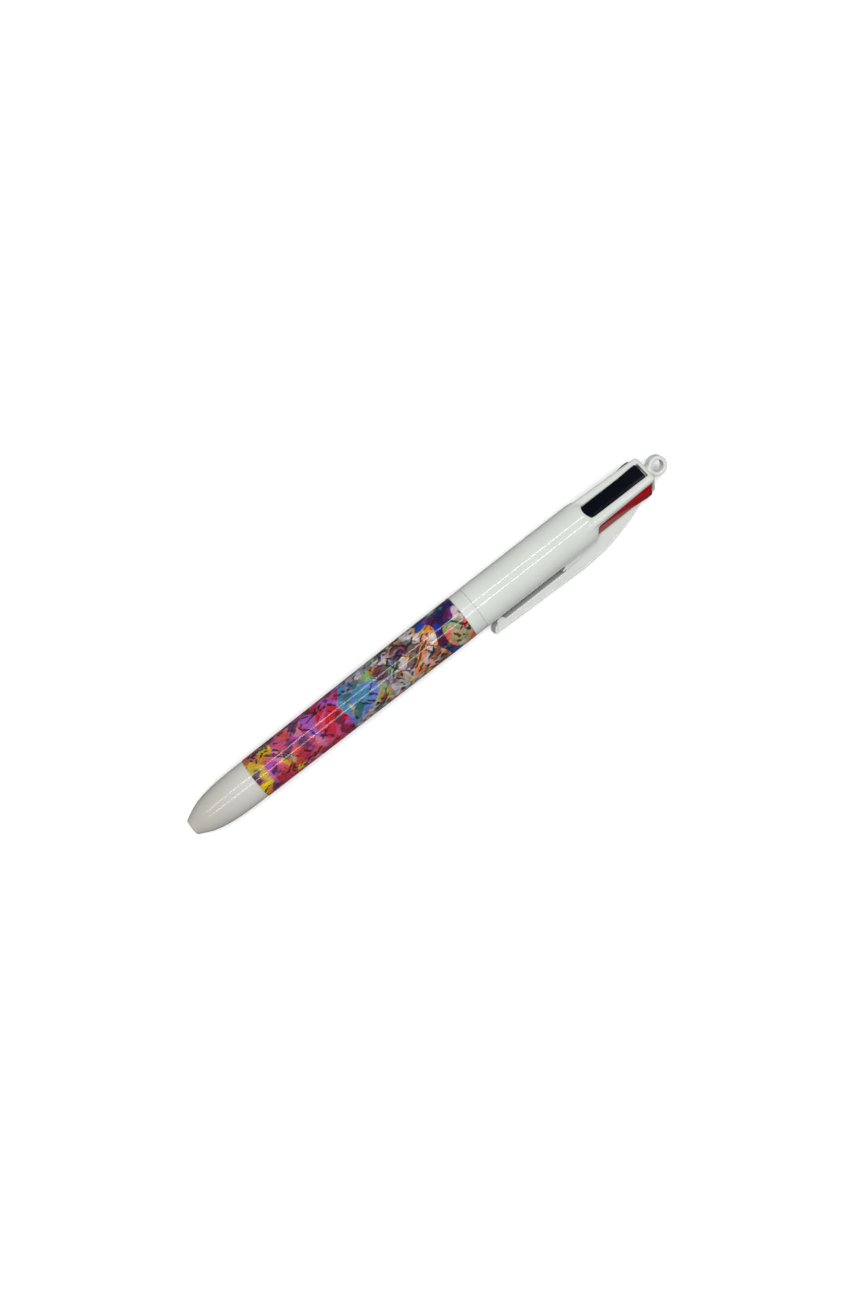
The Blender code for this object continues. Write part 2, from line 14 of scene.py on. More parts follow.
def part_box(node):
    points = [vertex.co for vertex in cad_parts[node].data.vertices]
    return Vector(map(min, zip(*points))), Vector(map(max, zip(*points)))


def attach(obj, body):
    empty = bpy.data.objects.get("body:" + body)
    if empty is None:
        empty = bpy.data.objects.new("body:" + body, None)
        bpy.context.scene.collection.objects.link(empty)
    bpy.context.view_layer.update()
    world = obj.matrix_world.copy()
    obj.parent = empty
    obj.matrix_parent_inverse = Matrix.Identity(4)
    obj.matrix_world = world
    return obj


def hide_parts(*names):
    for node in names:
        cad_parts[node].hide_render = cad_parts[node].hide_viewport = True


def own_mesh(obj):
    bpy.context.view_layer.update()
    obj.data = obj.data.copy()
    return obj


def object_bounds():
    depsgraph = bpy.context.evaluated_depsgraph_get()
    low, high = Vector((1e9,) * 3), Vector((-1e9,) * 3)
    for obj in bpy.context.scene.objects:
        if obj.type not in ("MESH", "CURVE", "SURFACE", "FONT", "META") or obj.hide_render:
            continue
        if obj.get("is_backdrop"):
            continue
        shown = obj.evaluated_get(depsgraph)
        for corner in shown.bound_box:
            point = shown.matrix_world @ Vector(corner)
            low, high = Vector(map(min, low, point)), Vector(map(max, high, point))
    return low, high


MM = 0.001
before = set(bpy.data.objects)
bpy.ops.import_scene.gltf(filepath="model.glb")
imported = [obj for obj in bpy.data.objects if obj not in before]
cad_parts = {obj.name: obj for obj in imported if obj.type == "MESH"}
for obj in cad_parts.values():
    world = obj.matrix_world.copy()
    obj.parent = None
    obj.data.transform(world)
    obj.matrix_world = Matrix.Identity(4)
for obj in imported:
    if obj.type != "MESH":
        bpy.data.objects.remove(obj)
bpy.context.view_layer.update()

# Directions of the four slots, the clip and the eyelet's hole
SLOT_ANGLES = {"black": 70, "red": 160, "blue": 250, "green": 340}
CLIP_ANGLE = 205
EYELET_ANGLE = 115

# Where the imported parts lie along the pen
barrel_low, barrel_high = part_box("lower_barrel")
barrel_middle = (barrel_low + barrel_high) / 2
PEN_ORIGIN = Vector((barrel_low.x, barrel_middle.y, barrel_middle.z))


def stations(node):
    """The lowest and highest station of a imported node."""
    low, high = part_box(node)
    return (low.x - PEN_ORIGIN.x) / MM, (high.x - PEN_ORIGIN.x) / MM


LOWER_END = stations("lower_barrel")[1]
SLEEVE_START, SLEEVE_END = stations("printed_sleeve")
UPPER_START, HEAD_END = stations("upper_barrel")
PEG_START, SLIDER_END = stations("black_slider")
POST_START, TOTAL_LENGTH = stations("ring_plug")

# Front half
NOSE_LENGTH = 18.8
NOSE_TIP_RADIUS = 2.1
NOSE_TIP_SLOPE = 0.47
NOSE_LIP_END = 2.0
NOSE_RADIUS = 5.2
NOSE_POWER = 2.9
NOSE_FULLNESS = 0.42
NOSE_HOLE_RADIUS = 1.85
NOSE_MOUTH_END = 1.2
NOSE_STEPS = 40
THROAT_STATION = 5.0
THROAT_RADIUS = 3.0
BARREL_RADIUS = 5.7
BARREL_SIDES = 160
BAND_RADIUS = 5.66
SOCKET_START = 76.5
SOCKET_RADIUS = 4.75
FRONT_BORE = 4.35
FRONT_BORE_START = 16.0
SLEEVE_START_RADIUS = 5.3
SLEEVE_THICKNESS = 0.12
SLEEVE_GAP = 0.04
SLEEVE_MARGIN = 0.12
SLEEVE_STEPS = 60

# Rear half
UPPER_BORE = 4.85
SEAM_OVERLAP = 0.17
RELIEF_START = 100.0
RELIEF_BORE = 5.0
BORE_END = 116.5
SHOULDER_START = 117.2
SHOULDER_LENGTH = 4.0
SHOULDER_DROP = 2.0
HEAD_START = 117.3
HEAD_START_HALF = 4.32
HEAD_END_HALF = 3.77
HEAD_CORNER = 0.9
CHANNEL_HALF_WIDTH = 2.0
CHANNEL_RADIUS = 4.5
SLOT_START = 119.3
SLOT_END = 137.3
SLOT_HALF_WIDTH = 2.08
SLOT_SAGITTA = 0.9
SLOT_FLOOR = 3.7
PLUG_HOLE_RADIUS = 2.65

# Clip
CLIP_HALF_WIDTH = 1.25
BEAD_HALF_WIDTH = 1.6
BEAD_DEPTH = 0.6
CLIP_OUTER = 9.4
CLIP_TIP_OUTER = 8.65
CLIP_INNER = 7.0
CLIP_TIP = 85.4
CLIP_TIP_LEAN = 0.68
CLIP_ROOT = 108.4
CLIP_ROOT_LOW = 110.4
CLIP_WEB_INNER = 3.6
BOSS_HALF_WIDTH = 1.8
BOSS_OUTER = 6.5
BOSS_INNER = 4.9
BOSS_START = 109.0
BOSS_FRONT_LEAN = 1.6
BOSS_FRONT_DEPTH = 1.0
BOSS_TURN_START = 112.0
BOSS_TURN_DROP = 1.35
BOSS_END = 115.0
BOSS_TAIL = 0.5
NUB_STATION = 88.6
NUB_RADIUS = 1.25
NUB_GAP = 0.2
FIN_START = 112.0
FIN_END = 133.0
FIN_DROP = 4.6
FIN_POWER = 2.06

# Eyelet and core post
POST_HALF = 1.2
LEDGE_START = 117.6
LEDGE_END = 118.6
LEDGE_HALF = 1.45
FLANGE_START = 137.1
FLANGE_RADIUS = 2.4
NECK_RADIUS = 1.65
NECK_END = 139.4
EYELET_RADIUS = 2.55
EYELET_HOLE_RADIUS = 1.45
EYELET_HALF = 1.25

# Sliders, springs and refills
SLIDER_START = 112.2
SLIDER_INNER = 2.2
SLIDER_OUTER = 4.35
SLIDER_HALF_WIDTH = 1.85
SLIDER_REAR_LEAN = 0.35
SLIDER_REAR_DEPTH = 0.6
THUMB_START = 130.6
THUMB_PEAK = 134.9
THUMB_RISE = 0.43
THUMB_POWER = 1.5
THUMB_FULLNESS = 0.6
TOOTH_START = 124.9
TOOTH_END = 125.9
TOOTH_TIP = 1.55
TOOTH_HALF_WIDTH = 0.8
PEG_RADIUS = 0.6
REFILL_LINE = 2.85
PIVOT_STATION = 110.0
BALL_END = 5.5
TIP_LINE = 1.95
BALL_RADIUS = 0.35
SPRING_START = 97.3
SPRING_END = 111.9
SPRING_RADIUS = 1.55
SPRING_WIRE = 0.15
SPRING_TURNS = 8
SPRING_STEPS = 28
SPRING_SIDES = 10
SPRING_EASE = 0.035
TUBE_START = 18.5
TUBE_END = 111.8
TUBE_RADIUS = 1.1
TUBE_BORE = 0.75
INK_START = 20.9
INK_END = 98.0
INK_RADIUS = 0.7
TIP_MOUTH = 5.75
CONE_LENGTH = 4.0
GROOVE_OFFSET = 2.1
GROOVE_WIDTH = 0.3
GROOVE_DEPTH = 0.08
TIP_MOUTH_RADIUS = 0.48
TIP_BORE = 0.4
TIP_BORE_DEPTH = 0.75
TIP_RADIUS = 0.8
COLLAR_START = 17.3
COLLAR_RADIUS = 1.05
TIP_TAIL_END = 20.5
TIP_TAIL_RADIUS = 0.7
BALL_STEPS = 14

# Floor, lights and camera: stations and sideways places on the pen in millimetres, and the rest in
# metres, watts and degrees
FLOOR_HALF = 6.0
FLOOR_GREY = 0.76
WORLD_STRENGTH = 0.12
LIGHT_STATION = 71.5
SOFTBOX_DISTANCE = 2.6
SOFTBOX_SIZE = (1.6, 1.6)
SOFTBOX_POWER = 94
STRIP_DISTANCE = 1.0
STRIP_SIZE = (1.5, 0.035)
STRIP_POWER = 2.8
FAR_STRIP_LEAN = 22
NEAR_STRIP_LEAN = 12
CAMERA_STATION = 52.7
CAMERA_AIM_STATION = 71.2
CAMERA_SIDE = -0.6
CAMERA_HEIGHT = 0.34
CAMERA_LENS = 39.56
CAMERA_ROLL = 38.05

pen_space = Matrix.Translation(PEN_ORIGIN) @ Matrix.Scale(MM, 4)


# ---------------------------------------------------------------- shaping

def both(a, b, radius):
    """Where two fields meet, with the outer edge rounded."""
    corner = np.hypot(np.maximum(a + radius, 0), np.maximum(b + radius, 0))
    return np.minimum(-radius, np.maximum(a, b)) + corner


def either(a, b, radius):
    """Two fields joined, with a fillet in the inner corner."""
    corner = np.hypot(np.maximum(radius - a, 0), np.maximum(radius - b, 0))
    return np.maximum(radius, np.minimum(a, b)) - corner


def slab(value, low, high):
    return np.maximum(low - value, value - high)


def rounded_square(a, b, half, corner):
    p, q = np.abs(a) - half + corner, np.abs(b) - half + corner
    return np.hypot(np.maximum(p, 0), np.maximum(q, 0)) + np.minimum(np.maximum(p, q), 0) - corner


def turned_coordinates(y, z, degrees):
    """Coordinates across the pen, along a direction round the axis and square to it."""
    c, s = math.cos(math.radians(degrees)), math.sin(math.radians(degrees))
    return y * c + z * s, z * c - y * s


def spaced(*stretches):
    """Grid lines over stretches that join, each with its start, end and step."""
    lines = []
    for start, end, step in stretches:
        lines.extend(np.linspace(start, end, max(1, round((end - start) / step)), endpoint=False))
    return np.array(lines + [stretches[-1][1]])


def slopes(field, points):
    """How fast a field changes along each axis at some points."""
    step = 0.02
    found = np.empty_like(points)
    for axis in range(3):
        shift = np.zeros(3)
        shift[axis] = step
        ahead, behind = field(*(points + shift).T), field(*(points - shift).T)
        found[:, axis] = (ahead - behind) / (2 * step)
    return found


def skin(field, lines, to_space=None, wrap=False):
    """The zero surface of a field, as points, quads and normals, by surface nets on a grid.

    to_space turns the grid's coordinates into the field's own, and wrap closes the third one."""
    grid = np.meshgrid(*lines, indexing="ij")
    space = grid if to_space is None else to_space(*grid)
    value, places = field(*space), np.stack(space, -1)
    if wrap:
        value = np.concatenate([value, value[:, :, :1]], 2)
        places = np.concatenate([places, places[:, :, :1]], 2)
    inside = value < 0
    cells = np.array(value.shape) - 1
    total, hits = np.zeros((cells.prod(), 3)), np.zeros(cells.prod())
    quads = []
    for axis in range(3):
        low, high = [slice(None)] * 3, [slice(None)] * 3
        low[axis], high[axis] = slice(None, -1), slice(1, None)
        if wrap and axis < 2:
            low[2] = high[2] = slice(None, -1)
        low, high = tuple(low), tuple(high)
        crossed = inside[low] != inside[high]
        start, end = value[low][crossed], value[high][crossed]
        share = (start / (start - end))[:, None]
        points = places[low][crossed] * (1 - share) + places[high][crossed] * share
        index = np.argwhere(crossed)
        first, second = [k for k in range(3) if k != axis]
        ring = []
        for a, b in ((-1, -1), (0, -1), (0, 0), (-1, 0)):
            cell = index.copy()
            cell[:, first] += a
            cell[:, second] += b
            cell[:, 2] %= cells[2]
            flat = np.ravel_multi_index(cell.T, cells)
            hits += np.bincount(flat, minlength=len(hits))
            for k in range(3):
                total[:, k] += np.bincount(flat, points[:, k], len(hits))
            ring.append(flat)
        ring = np.stack(ring, 1)
        flip = (start < 0) == (axis == 1)
        ring[flip] = ring[flip][:, ::-1]
        quads.append(ring)
    quads = np.concatenate(quads)
    used, quads = np.unique(quads, return_inverse=True)
    points = total[used] / hits[used][:, None]
    for _ in range(3):
        slope = slopes(field, points)
        size = np.maximum((slope ** 2).sum(1), 0.25)
        step = np.clip(field(*points.T) / size, -0.1, 0.1)
        points -= slope * step[:, None]
    normals = slopes(field, points)
    normals /= np.maximum(np.linalg.norm(normals, axis=1), 1e-6)[:, None]
    return points, quads.reshape(-1, 4), normals


def outline(corners):
    """A turned piece's outline with rounded corners, as (station, radius) points and their normals.

    Each corner is (station, radius, rounding), in order from the rear, along the outside, to the
    nose. A corner with no rounding is a point on a smooth curve, or on the axis."""
    segments = 5
    count = len(corners)
    spots = [Vector(c[:2]) for c in corners]
    points, normals = [], []
    for k in range(count):
        here, before, after = spots[k], spots[k - 1], spots[(k + 1) % count]
        back, ahead = (before - here).normalized(), (after - here).normalized()
        side_in, side_out = Vector((back.y, -back.x)), Vector((-ahead.y, ahead.x))
        rounding = corners[k][2]
        if rounding <= 0:
            if here.y < 1e-6:
                normal = side_out if before.y < 1e-6 else side_in
            else:
                normal = (side_in + side_out).normalized()
            points.append(here)
            normals.append(-normal)
            continue
        angle = back.angle(ahead)
        centre = here + (back + ahead).normalized() * rounding / math.sin(angle / 2)
        start, end = -side_in, -side_out
        turn = start.angle_signed(end)
        bulge = 1 if (here - centre).dot(start + end) > 0 else -1
        for j in range(segments + 1):
            spin = -turn * j / segments
            c, s = math.cos(spin), math.sin(spin)
            normal = Vector((start.x * c - start.y * s, start.x * s + start.y * c))
            points.append(centre + normal * rounding * bulge)
            normals.append(normal)
    return points, normals


def turned(corners, sides, closed=True):
    """A turned piece: its points, faces and normals."""
    points, normals, rings = [], [], []
    for spot, normal in zip(*outline(corners)):
        ring = []
        steps = 1 if spot.y < 1e-6 else sides
        for k in range(steps):
            turn = 2 * math.pi * k / sides
            ring.append(len(points))
            points.append((spot.x, spot.y * math.cos(turn), spot.y * math.sin(turn)))
            normals.append((normal.x, normal.y * math.cos(turn), normal.y * math.sin(turn)))
        rings.append(ring * sides if steps == 1 else ring)
    pairs = list(zip(rings, rings[1:] + rings[:1])) if closed else list(zip(rings, rings[1:]))
    faces = []
    for one, two in pairs:
        for k in range(sides):
            n = (k + 1) % sides
            face = [two[k], two[n], one[n], one[k]]
            face = [v for j, v in enumerate(face) if v not in face[:j]]
            if len(face) > 2:
                faces.append(face)
    return np.array(points), faces, np.array(normals)


def helix(start, end, radius, turns, per_turn, offset):
    """A spring's path, with its turns a little closer together at both ends."""
    path = []
    total = turns * per_turn
    for k in range(total + 1):
        share = k / total
        eased = share - SPRING_EASE * math.sin(2 * math.pi * share)
        turn = 2 * math.pi * k / per_turn
        x = start + (end - start) * eased
        path.append(Vector((x, offset + radius * math.cos(turn), radius * math.sin(turn))))
    return path


def wire(path, radius, sides):
    """A round wire along a path, closed at both ends."""
    points, faces, normals = [], [], []
    for k, here in enumerate(path):
        along = (path[min(k + 1, len(path) - 1)] - path[max(k - 1, 0)]).normalized()
        across = along.cross(Vector((1, 0, 0))).normalized()
        upright = across.cross(along)
        for j in range(sides):
            turn = 2 * math.pi * j / sides
            normal = across * math.cos(turn) + upright * math.sin(turn)
            points.append(here + normal * radius)
            normals.append(normal)
            if k:
                a, b = (k - 1) * sides + j, (k - 1) * sides + (j + 1) % sides
                faces.append([a + sides, b + sides, b, a])
    last = (len(path) - 1) * sides
    faces.append(list(range(sides)))
    faces.append([last + j for j in range(sides)][::-1])
    return np.array(points), faces, np.array(normals)


def piece(name, shape, space, body, node, material):
    """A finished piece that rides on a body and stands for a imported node."""
    points, faces, normals = shape
    faces = faces.tolist() if isinstance(faces, np.ndarray) else faces
    mesh = bpy.data.meshes.new(name)
    mesh.from_pydata(points.tolist(), [], faces)
    mesh.validate()
    mesh.shade_smooth()
    mesh.normals_split_custom_set_from_vertices(normals.tolist())
    mesh.transform(space)
    mesh.materials.append(material)
    made = bpy.data.objects.new(name, mesh)
    bpy.context.scene.collection.objects.link(made)
    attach(made, body)
    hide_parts(node)
    return made


# ---------------------------------------------------------------- materials

def rgb(red, green, blue):
    """A linear colour from sRGB values out of 255."""
    values = [v / 255 for v in (red, green, blue)]
    linear = [v / 12.92 if v <= 0.04045 else ((v + 0.055) / 1.055) ** 2.4 for v in values]
    return (*linear, 1.0)


class Surface:
    """A material being put together from nodes."""

    def __init__(self, name):
        self.material = bpy.data.materials.new(name)
        self.material.use_nodes = True
        self.tree = self.material.node_tree
        self.shader = self.tree.nodes["Principled BSDF"]

    def feed(self, socket, value):
        if isinstance(value, bpy.types.NodeSocket):
            self.tree.links.new(value, socket)
        else:
            socket.default_value = value

    def put(self, kind, inputs, output=0, **settings):
        node = self.tree.nodes.new("ShaderNode" + kind)
        for key, value in settings.items():
            setattr(node, key, value)
        for key, value in inputs.items():
            self.feed(node.inputs[key], value)
        return node.outputs[output]

    def maths(self, operation, a, b):
        return self.put("Math", {0: a, 1: b}, operation=operation)

    def mix(self, factor, a, b, mode="MIX"):
        sockets = {0: factor, 6: a, 7: b}
        return self.put("Mix", sockets, 2, data_type="RGBA", blend_type=mode)

    def ramp(self, value, low, high, to_low=0.0, to_high=1.0):
        sockets = {0: value, 1: low, 2: high, 3: to_low, 4: to_high}
        return self.put("MapRange", sockets, interpolation_type="SMOOTHSTEP")

    def noise(self, vector, scale, detail, roughness=0.5):
        sockets = {"Vector": vector, "Scale": scale, "Detail": detail, "Roughness": roughness}
        return self.put("TexNoise", sockets)

    def millimetres(self):
        place = self.put("TexCoord", {}, output=3)
        return self.put("VectorMath", {0: place, "Scale": 1 / MM}, operation="SCALE")

    def bump(self, height, strength, distance):
        normal = self.put("Bump", {"Strength": strength, "Distance": distance * MM, "Height": height})
        self.feed(self.shader.inputs["Normal"], normal)

    def finish(self, **inputs):
        for key, value in inputs.items():
            self.feed(self.shader.inputs[key.replace("_", " ")], value)
        return self.material


MOULD_WAVE = 0.004
METAL_SHARE = 0.75


def plastic(name, colour, shade, roughness, shine=0.5):
    """Moulded plastic: slow shifts of shade and gloss, and a faint unevenness from the mould."""
    made = Surface(name)
    place = made.millimetres()
    broad = made.noise(place, 0.09, 2.0)
    fine = made.noise(place, 2.2, 3.0, 0.6)
    colour = made.mix(made.ramp(broad, 0.35, 0.65), colour, shade)
    gloss = made.ramp(fine, 0.3, 0.7, roughness * 0.85, roughness * 1.2)
    made.bump(made.noise(place, 0.5, 1.0), 1.0, MOULD_WAVE)
    return made.finish(Base_Color=colour, Roughness=gloss, Specular_IOR_Level=shine)


white_plastic = plastic("white_gloss", rgb(174, 177, 173), rgb(171, 174, 170), 0.07)
SLIDER_PLASTICS = {
    "black": plastic("black_gloss", rgb(5, 8, 14), rgb(3, 6, 11), 0.14, shine=0.2),
    "red": plastic("red_gloss", rgb(122, 1, 8), rgb(110, 1, 6), 0.14, shine=0.15),
    "blue": plastic("blue_gloss", rgb(14, 44, 128), rgb(11, 38, 116), 0.14, shine=0.3),
    "green": plastic("green_gloss", rgb(4, 82, 54), rgb(3, 74, 48), 0.14, shine=0.12),
}


def metal(name, colour, shade, roughness, rings):
    """Turned or drawn metal with fine tool marks round the piece."""
    made = Surface(name)
    place = made.millimetres()
    along = made.put("VectorMath", {0: place, 1: (rings, 0.1, 0.1)}, operation="MULTIPLY")
    marks = made.noise(along, 1.0, 3.0, 0.7)
    colour = made.mix(made.ramp(marks, 0.3, 0.7), colour, shade)
    gloss = made.ramp(marks, 0.3, 0.7, roughness * 0.7, roughness * 1.4)
    made.bump(marks, 1.0, 0.006)
    return made.finish(Base_Color=colour, Roughness=gloss, Metallic=METAL_SHARE)


spring_steel = metal("drawn_steel", rgb(196, 197, 200), rgb(168, 169, 174), 0.25, 3.0)
tip_metal = metal("turned_brass", rgb(214, 190, 128), rgb(190, 160, 96), 0.22, 6.0)
ball_metal = metal("polished_ball", rgb(150, 152, 158), rgb(120, 122, 130), 0.1, 2.0)
block_plastic = plastic("guide_white", rgb(205, 206, 203), rgb(198, 199, 196), 0.38)


def tube_material():
    """Thin clear tube wall, milky along its length."""
    made = Surface("refill_tube_clear")
    place = made.millimetres()
    milk = made.ramp(made.noise(place, 0.25, 2.0), 0.3, 0.7, 0.3, 0.45)
    made.bump(made.noise(place, 1.5, 2.0), 1.0, 0.004)
    colour = made.mix(milk, rgb(236, 240, 240), rgb(214, 220, 221))
    return made.finish(Base_Color=colour, Roughness=0.06, Transmission_Weight=0.92, IOR=1.3)


tube_plastic = tube_material()
INK_COLOURS = {
    "black": rgb(12, 12, 16),
    "red": rgb(150, 8, 16),
    "blue": rgb(14, 36, 132),
    "green": rgb(6, 92, 60),
}
INK_SHADE = 0.7


def ink_material(colour):
    """Ink standing in the tube, darker in places."""
    body = INK_COLOURS[colour]
    made = Surface(colour + "_ink_fill")
    place = made.millimetres()
    drift = made.ramp(made.noise(place, 0.4, 3.0), 0.35, 0.65)
    shade = made.mix(drift, body, tuple(INK_SHADE * v for v in body[:3]) + (1.0,))
    return made.finish(Base_Color=shade, Roughness=0.2)


# Distances from the nose tip over which the front half's colour changes: painted shade, darker towards the
# nose where the light falls off, and a little warmer there
NOSE_SHADE_FADE = 20.0
BAND_FADE = 40.0


def nose_material():
    """Satin plastic, a little warm at the nose and neutral behind the print, with painted shade that darkens
    it towards the nose.
    """
    made = Surface("nose_gloss_painted_shade")
    place = made.millimetres()
    along = made.put("SeparateXYZ", {0: place})
    start = PEN_ORIGIN.x / MM
    # Painted shade: the colour is made darker towards the nose tip to stand in for the light falling off
    # there
    front = made.ramp(along, start, start + NOSE_SHADE_FADE)
    colour = made.mix(front, rgb(151, 149, 142), rgb(163, 162, 158))
    rear = made.ramp(along, start + NOSE_SHADE_FADE, start + BAND_FADE)
    colour = made.mix(rear, colour, rgb(173, 176, 172))
    shade = made.ramp(made.noise(place, 0.1, 2.0), 0.35, 0.65, 0.97, 1.0)
    colour = made.mix(1.0, colour, made.put("CombineXYZ", {0: shade, 1: shade, 2: shade}), "MULTIPLY")
    gloss = made.ramp(made.noise(place, 2.2, 3.0, 0.6), 0.3, 0.7, 0.13, 0.19)
    made.bump(made.noise(place, 0.5, 1.0), 1.0, MOULD_WAVE)
    return made.finish(Base_Color=colour, Roughness=gloss)


# Paint colours of the print by the station where each zone starts. The first is the zone's ground,
# and each of the others is laid on by its own strokes.
PRINT_ZONES = [
    (18, [(222, 200, 30), (205, 180, 30), (130, 125, 140), (200, 100, 50), (195, 50, 45), (60, 45, 90)]),
    (27, [(190, 80, 120), (205, 120, 160), (170, 70, 160), (215, 80, 60), (165, 35, 50), (35, 40, 90)]),
    (37, [(190, 40, 70), (150, 90, 190), (205, 50, 90), (190, 80, 120), (190, 20, 40), (80, 15, 35)]),
    (47, [(190, 185, 190), (90, 110, 190), (190, 170, 130), (170, 140, 180), (60, 130, 160), (20, 90, 75)]),
    (55, [(120, 70, 80), (130, 185, 110), (200, 190, 215), (190, 130, 60), (120, 130, 145), (85, 25, 65)]),
    (62, [(222, 212, 202), (180, 170, 190), (140, 150, 150), (225, 170, 60), (230, 130, 50), (60, 60, 65)]),
    (71, [(70, 25, 75), (60, 170, 130), (120, 40, 120), (20, 60, 170), (80, 20, 50), (25, 25, 90)]),
    (77, [(205, 160, 145), (190, 180, 160), (200, 190, 200), (180, 150, 120), (220, 55, 40), (120, 150, 80)]),
]
PRINT_START, PRINT_LENGTH = 18.0, 64.0
ZONE_BLEND = 0.008
# How the strokes are bent, as (scale, reach) of each drift
PRINT_DRIFTS = [(0.3, 2.2), (1.6, 0.6)]
PRINT_SWAY = 4.5
# Brush strokes as (palette slot, lean in degrees, half length, half width, share of cells painted)
BRUSHWORK = [
    (1, 20, 3.4, 1.7, 0.6), (2, -35, 2.8, 1.3, 0.5), (3, 60, 2.6, 1.2, 0.5), (4, 10, 3.6, 1.4, 0.5),
    (5, -60, 2.6, 0.9, 0.4), (2, 75, 1.8, 0.8, 0.3), (3, -15, 2.4, 0.9, 0.35), (1, -70, 1.6, 0.8, 0.35),
    (4, 45, 1.8, 0.7, 0.3), (5, 25, 1.6, 0.6, 0.3),
]
# Thin dark lines as (lean in degrees, half length, half width, share of cells painted)
PEN_LINES = [(35, 4.4, 0.2, 0.18), (-50, 3.8, 0.18, 0.16)]
INK_DARK = (28, 25, 34)


def print_material():
    """Glossy film with invented brush strokes all round it, in zones of colour along the pen."""
    made = Surface("sleeve_print")
    place = made.millimetres()
    origin = tuple(v / MM for v in PEN_ORIGIN)
    warped = made.put("VectorMath", {0: place, 1: origin}, operation="SUBTRACT")
    for scale, reach in PRINT_DRIFTS:
        drift = made.put("TexNoise", {"Vector": place, "Scale": scale, "Detail": 3.0}, output=1)
        drift = made.put("VectorMath", {0: drift, 1: (0.5, 0.5, 0.5)}, operation="SUBTRACT")
        drift = made.put("VectorMath", {0: drift, "Scale": reach}, operation="SCALE")
        warped = made.put("VectorMath", {0: warped, 1: drift}, operation="ADD")
    station = made.put("SeparateXYZ", {0: warped})
    sway = made.put("TexNoise", {"Vector": place, "Scale": 0.11, "Detail": 1.0})
    sway = made.ramp(sway, 0.3, 0.7, -PRINT_SWAY, PRINT_SWAY)
    along = made.ramp(made.maths("ADD", station, sway), PRINT_START, PRINT_START + PRINT_LENGTH)
    along.node.interpolation_type = "LINEAR"

    def shade_of(slot):
        """The colour of one palette slot, zone by zone along the pen."""
        picked = made.put("ValToRGB", {0: along})
        bar = picked.node.color_ramp
        for number, (start, colours) in enumerate(PRINT_ZONES):
            at = (start - PRINT_START) / PRINT_LENGTH
            stop = bar.elements[0] if number == 0 else bar.elements.new(at)
            stop.color = rgb(*colours[slot])
            if number:
                edge = bar.elements.new(at - ZONE_BLEND)
                edge.color = rgb(*PRINT_ZONES[number - 1][1][slot])
        bar.elements.remove(bar.elements[-1])
        return picked

    bristles = made.put("VectorMath", {0: place, 1: (0.5, 2.6, 2.6)}, operation="MULTIPLY")
    bristles = made.noise(bristles, 1.6, 3.0, 0.65)

    def laid(under, shade, number, lean, length, width, share, dry, strength):
        """Strokes of one shade laid over the paint under them."""
        turned_about = {"Vector": warped, "Location": (7.3 * number, 3.1 * number, 1.7 * number),
                        "Rotation": (0, 0, math.radians(lean)), "Scale": (length, width, width)}
        spot = made.put("Mapping", turned_about, vector_type="TEXTURE")
        cells = made.put("TexVoronoi", {"Vector": spot, "Scale": 0.3})
        dice = made.put("SeparateColor", {0: cells.node.outputs["Color"]})
        reach = made.maths("ADD", cells, made.maths("MULTIPLY", bristles, dry))
        body = made.ramp(reach, 0.45 + dry / 2, 0.7 + dry / 2, strength, 0.0)
        picked = made.maths("LESS_THAN", dice, share)
        return made.mix(made.maths("MULTIPLY", body, picked), under, shade)

    paint = shade_of(0)
    for number, (slot, lean, length, width, share) in enumerate(BRUSHWORK):
        paint = laid(paint, shade_of(slot), number + 1, lean, length, width, share, 0.35, 0.8)
    for number, (lean, length, width, share) in enumerate(PEN_LINES):
        paint = laid(paint, rgb(*INK_DARK), number + 20, lean, length, width, share, 0.1, 0.85)
    value = made.ramp(bristles, 0.3, 0.7, 0.36, 0.74)
    tint = made.put("CombineXYZ", {0: value, 1: value, 2: value})
    paint = made.mix(1.0, paint, tint, "MULTIPLY")
    made.bump(made.noise(place, 0.5, 1.0), 1.0, 0.003)
    gloss = made.ramp(made.noise(place, 2.2, 3.0), 0.3, 0.7, 0.1, 0.16)
    return made.finish(Base_Color=paint, Roughness=gloss)


# ---------------------------------------------------------------- lower barrel and print

def nose_radius(station):
    lip = NOSE_TIP_RADIUS + NOSE_TIP_SLOPE * station
    ogive = NOSE_RADIUS * (1 - (1 - station / NOSE_LENGTH) ** NOSE_POWER) ** NOSE_FULLNESS
    return max(lip, ogive) if station < NOSE_LIP_END else ogive


def make_lower_barrel():
    seat = SLEEVE_THICKNESS + SLEEVE_GAP
    front, rear = SLEEVE_START - SLEEVE_MARGIN, SLEEVE_END + SLEEVE_MARGIN
    corners = [
        (LOWER_END, BAND_RADIUS, 0.06),
        (rear, BAND_RADIUS, 0.05),
        (rear, BARREL_RADIUS - seat, 0.04),
        (front, SLEEVE_START_RADIUS - seat, 0.04),
        (front, nose_radius(front), 0.06),
    ]
    start, end = 0.35, front - 0.3
    middle = [end + (start - end) * k / NOSE_STEPS for k in range(NOSE_STEPS + 1)]
    corners += [(x, nose_radius(x), 0) for x in middle]
    corners += [
        (0.0, nose_radius(0.0) - 0.03, 0.14),
        (0.0, NOSE_HOLE_RADIUS, 0.12),
        (NOSE_MOUTH_END, NOSE_HOLE_RADIUS, 0.3),
        (THROAT_STATION, THROAT_RADIUS, 0.5),
        (FRONT_BORE_START, FRONT_BORE - 0.05, 0.5),
        (SOCKET_START, FRONT_BORE, 0.1),
        (SOCKET_START, SOCKET_RADIUS, 0.1),
        (LOWER_END, SOCKET_RADIUS, 0.12),
    ]
    return turned(corners, BARREL_SIDES)


def sleeve_radius(station):
    along = (station - SLEEVE_START) / (SLEEVE_END - SLEEVE_START)
    return SLEEVE_START_RADIUS + (BARREL_RADIUS - SLEEVE_START_RADIUS) * along


